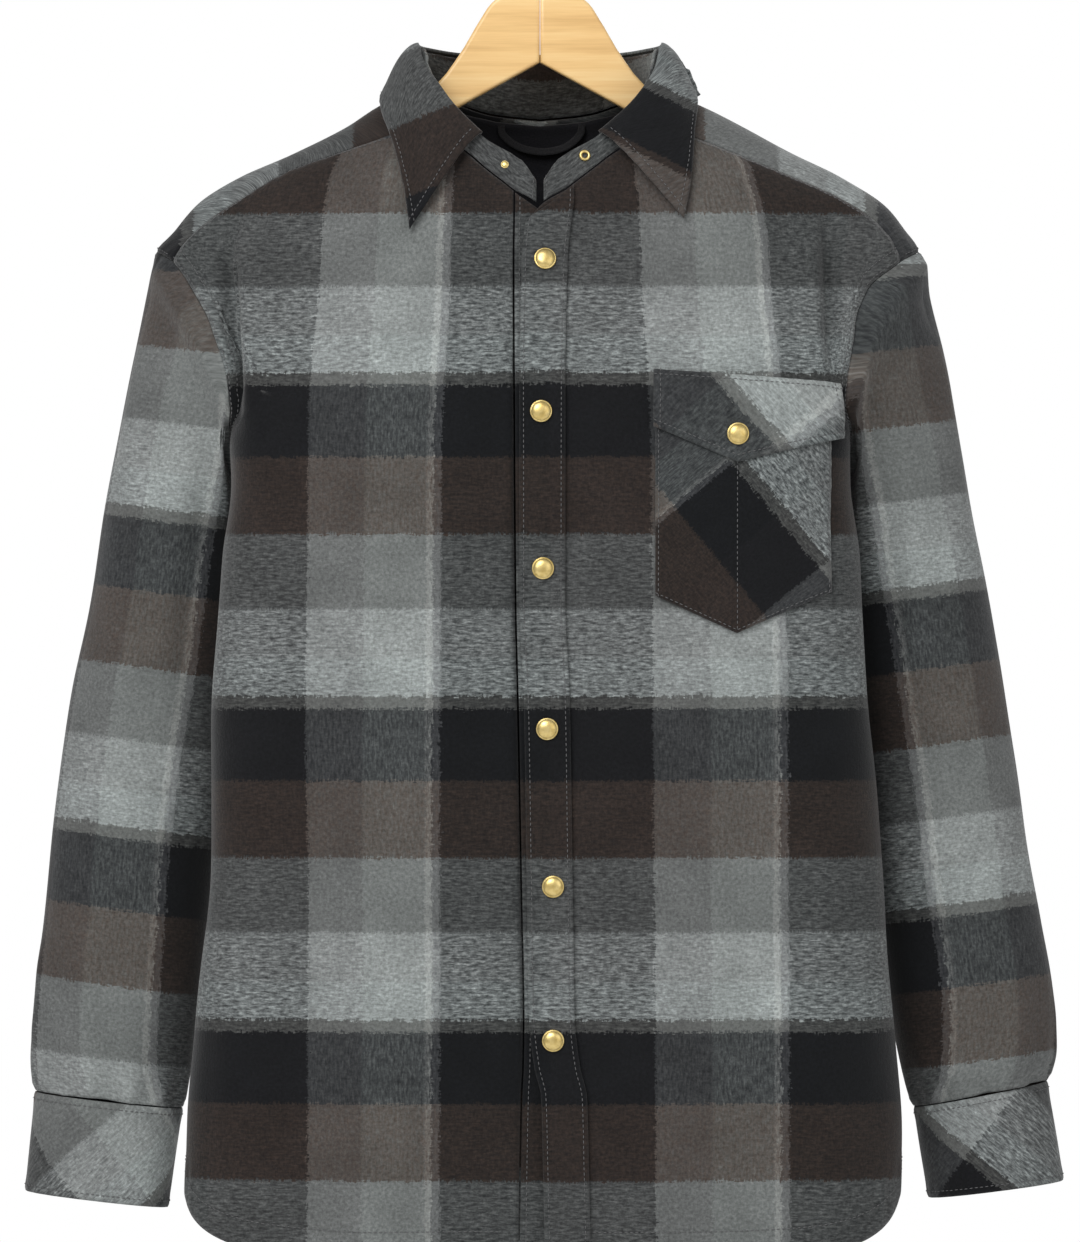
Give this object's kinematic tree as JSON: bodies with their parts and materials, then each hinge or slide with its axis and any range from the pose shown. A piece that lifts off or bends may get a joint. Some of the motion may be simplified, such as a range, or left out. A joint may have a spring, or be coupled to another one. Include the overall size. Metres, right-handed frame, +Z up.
{
  "type": "shacket on a hanger",
  "caption": "Plaid flannel shacket with a pointed collar, snap front and flap chest pocket, hung on a wooden hanger.",
  "frame": {"origin": "the top of the inside of the hanger's hook, where the hook rests on its rod", "axes": "+Z up, -Y towards the front of the garment, +X to the right as seen from the front"},
  "size_m": [0.712, 0.1956, 0.9394],
  "materials": {
    "plaid_flannel": "brushed cotton flannel in a plaid of charcoal, brown and greys",
    "dark_lining": "matt quilted lining",
    "snap_brass": "aged brass",
    "hanger_wood": "satin varnish",
    "hook_steel": "polished"
  },
  "bodies": {
    "root": {"front_left": "plaid_flannel", "front_right": "plaid_flannel", "back": "plaid_flannel", "yoke": "plaid_flannel", "sleeve_left": "plaid_flannel", "sleeve_right": "plaid_flannel", "cuff_left": "plaid_flannel", "cuff_right": "plaid_flannel", "collar_stand": "plaid_flannel", "collar_leaf": "plaid_flannel", "placket": "plaid_flannel", "placket_under": "plaid_flannel", "pocket": "plaid_flannel", "pocket_flap": "plaid_flannel", "snap_1": "snap_brass", "snap_2": "snap_brass", "snap_3": "snap_brass", "snap_4": "snap_brass", "snap_5": "snap_brass", "snap_6": "snap_brass", "pocket_snap": "snap_brass", "neck_stud": "snap_brass", "neck_socket": "snap_brass", "lining_back": "dark_lining", "hang_loop": "dark_lining", "hanger_left": "hanger_wood", "hanger_right": "hanger_wood", "hanger_hook": "hook_steel"}
  },
  "joints": []
}
